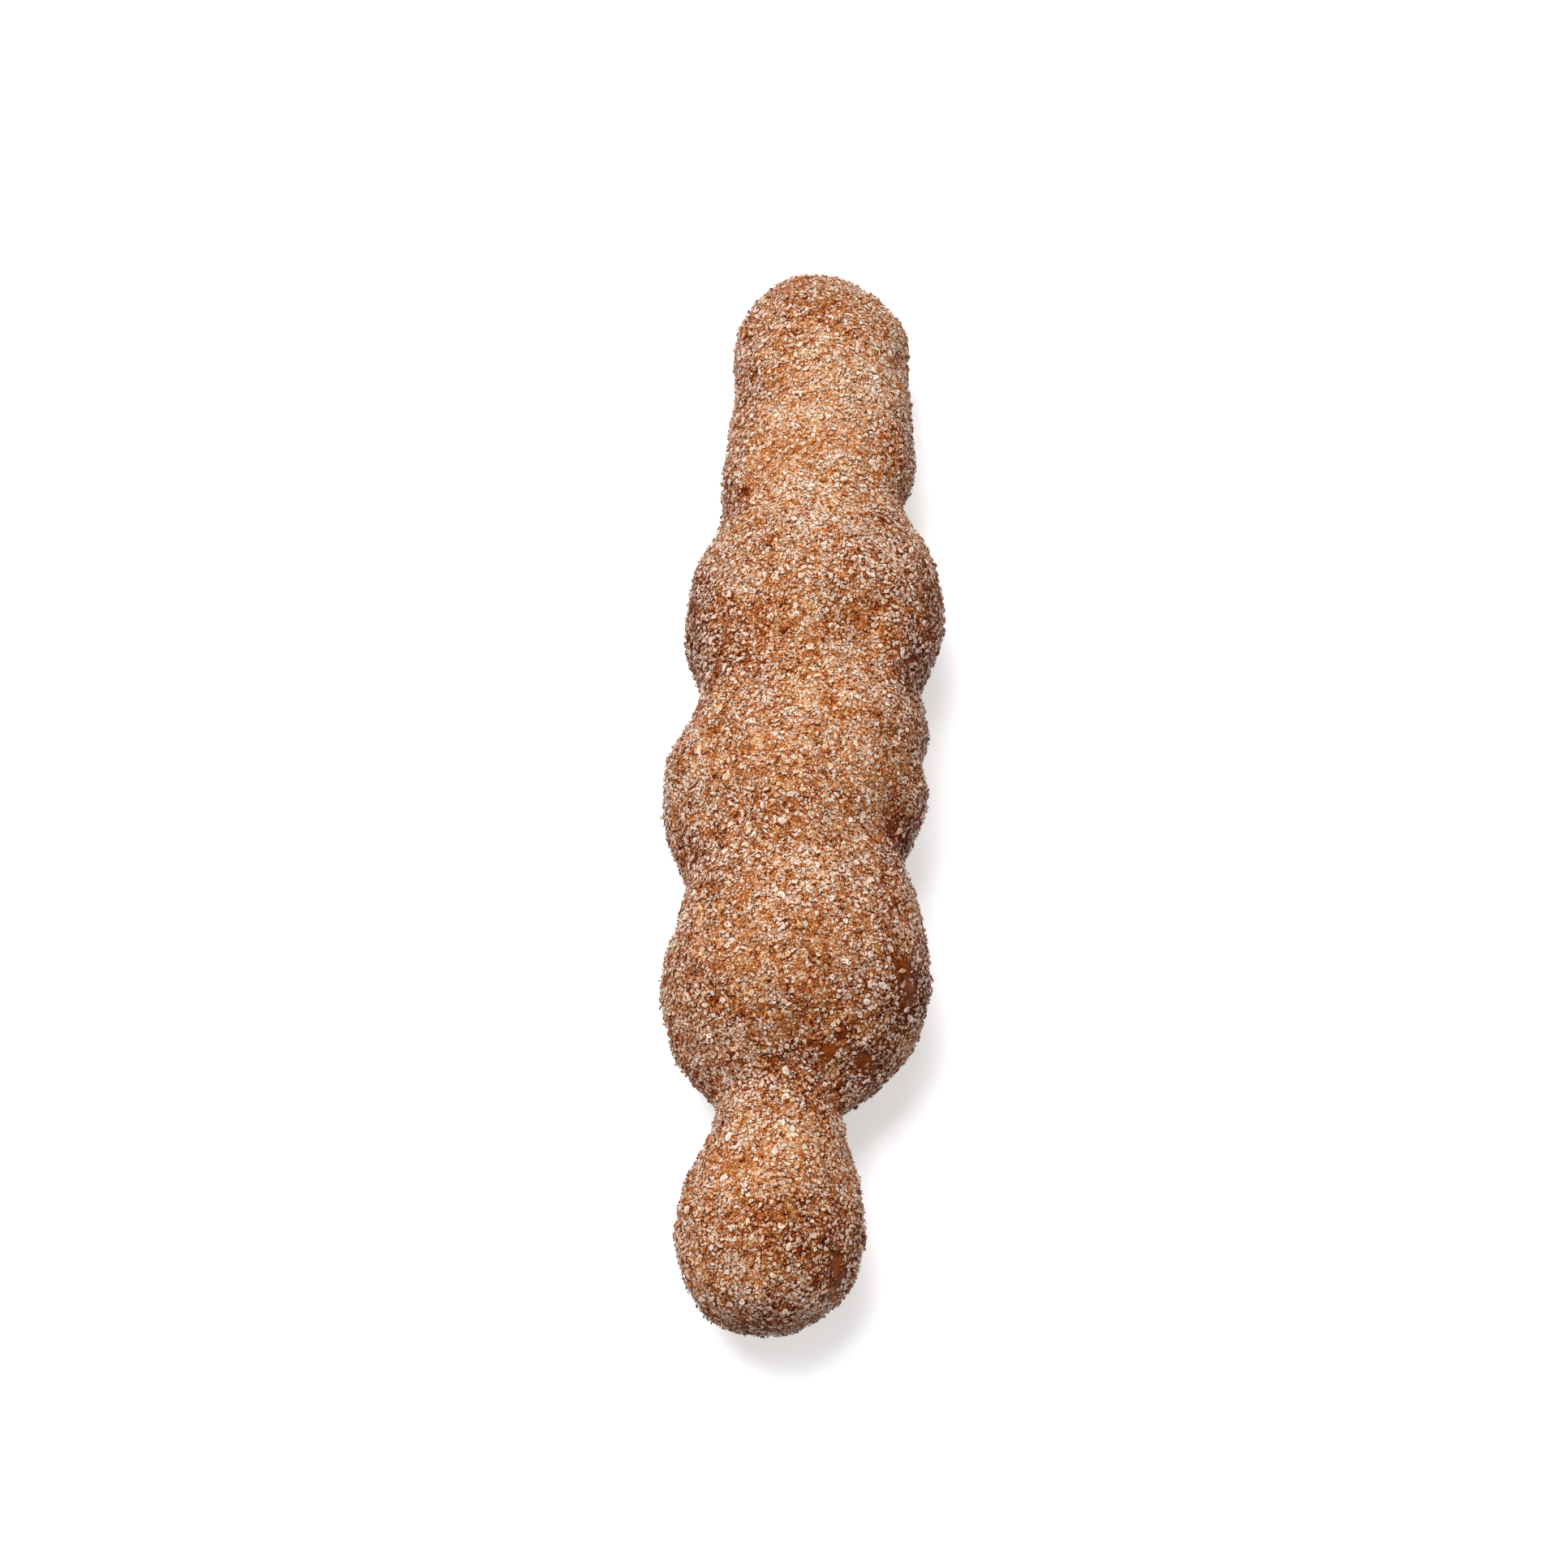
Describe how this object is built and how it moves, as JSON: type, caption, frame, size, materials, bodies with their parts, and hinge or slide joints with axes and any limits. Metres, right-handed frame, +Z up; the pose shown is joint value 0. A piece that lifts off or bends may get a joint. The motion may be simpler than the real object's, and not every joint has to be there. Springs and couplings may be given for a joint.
{
  "type": "churro",
  "caption": "Thick fried-dough churro puffed into a row of rounded lobes, coated all over in cinnamon sugar, lying on its side.",
  "frame": {"origin": "on the surface it rests on, under the middle of its bounding box", "axes": "+Y along its length towards the tapered end, +Z up, +X across, to the right when seen from the pear-shaped end"},
  "size_m": [0.04, 0.165, 0.0333],
  "materials": {
    "dough": "golden-brown fried dough with fine wrinkles and pores, dusted with cinnamon sugar",
    "sugar": "pale translucent sugar grains, lightly tinted by cinnamon"
  },
  "bodies": {
    "root": {"churro": "dough"}
  },
  "joints": []
}
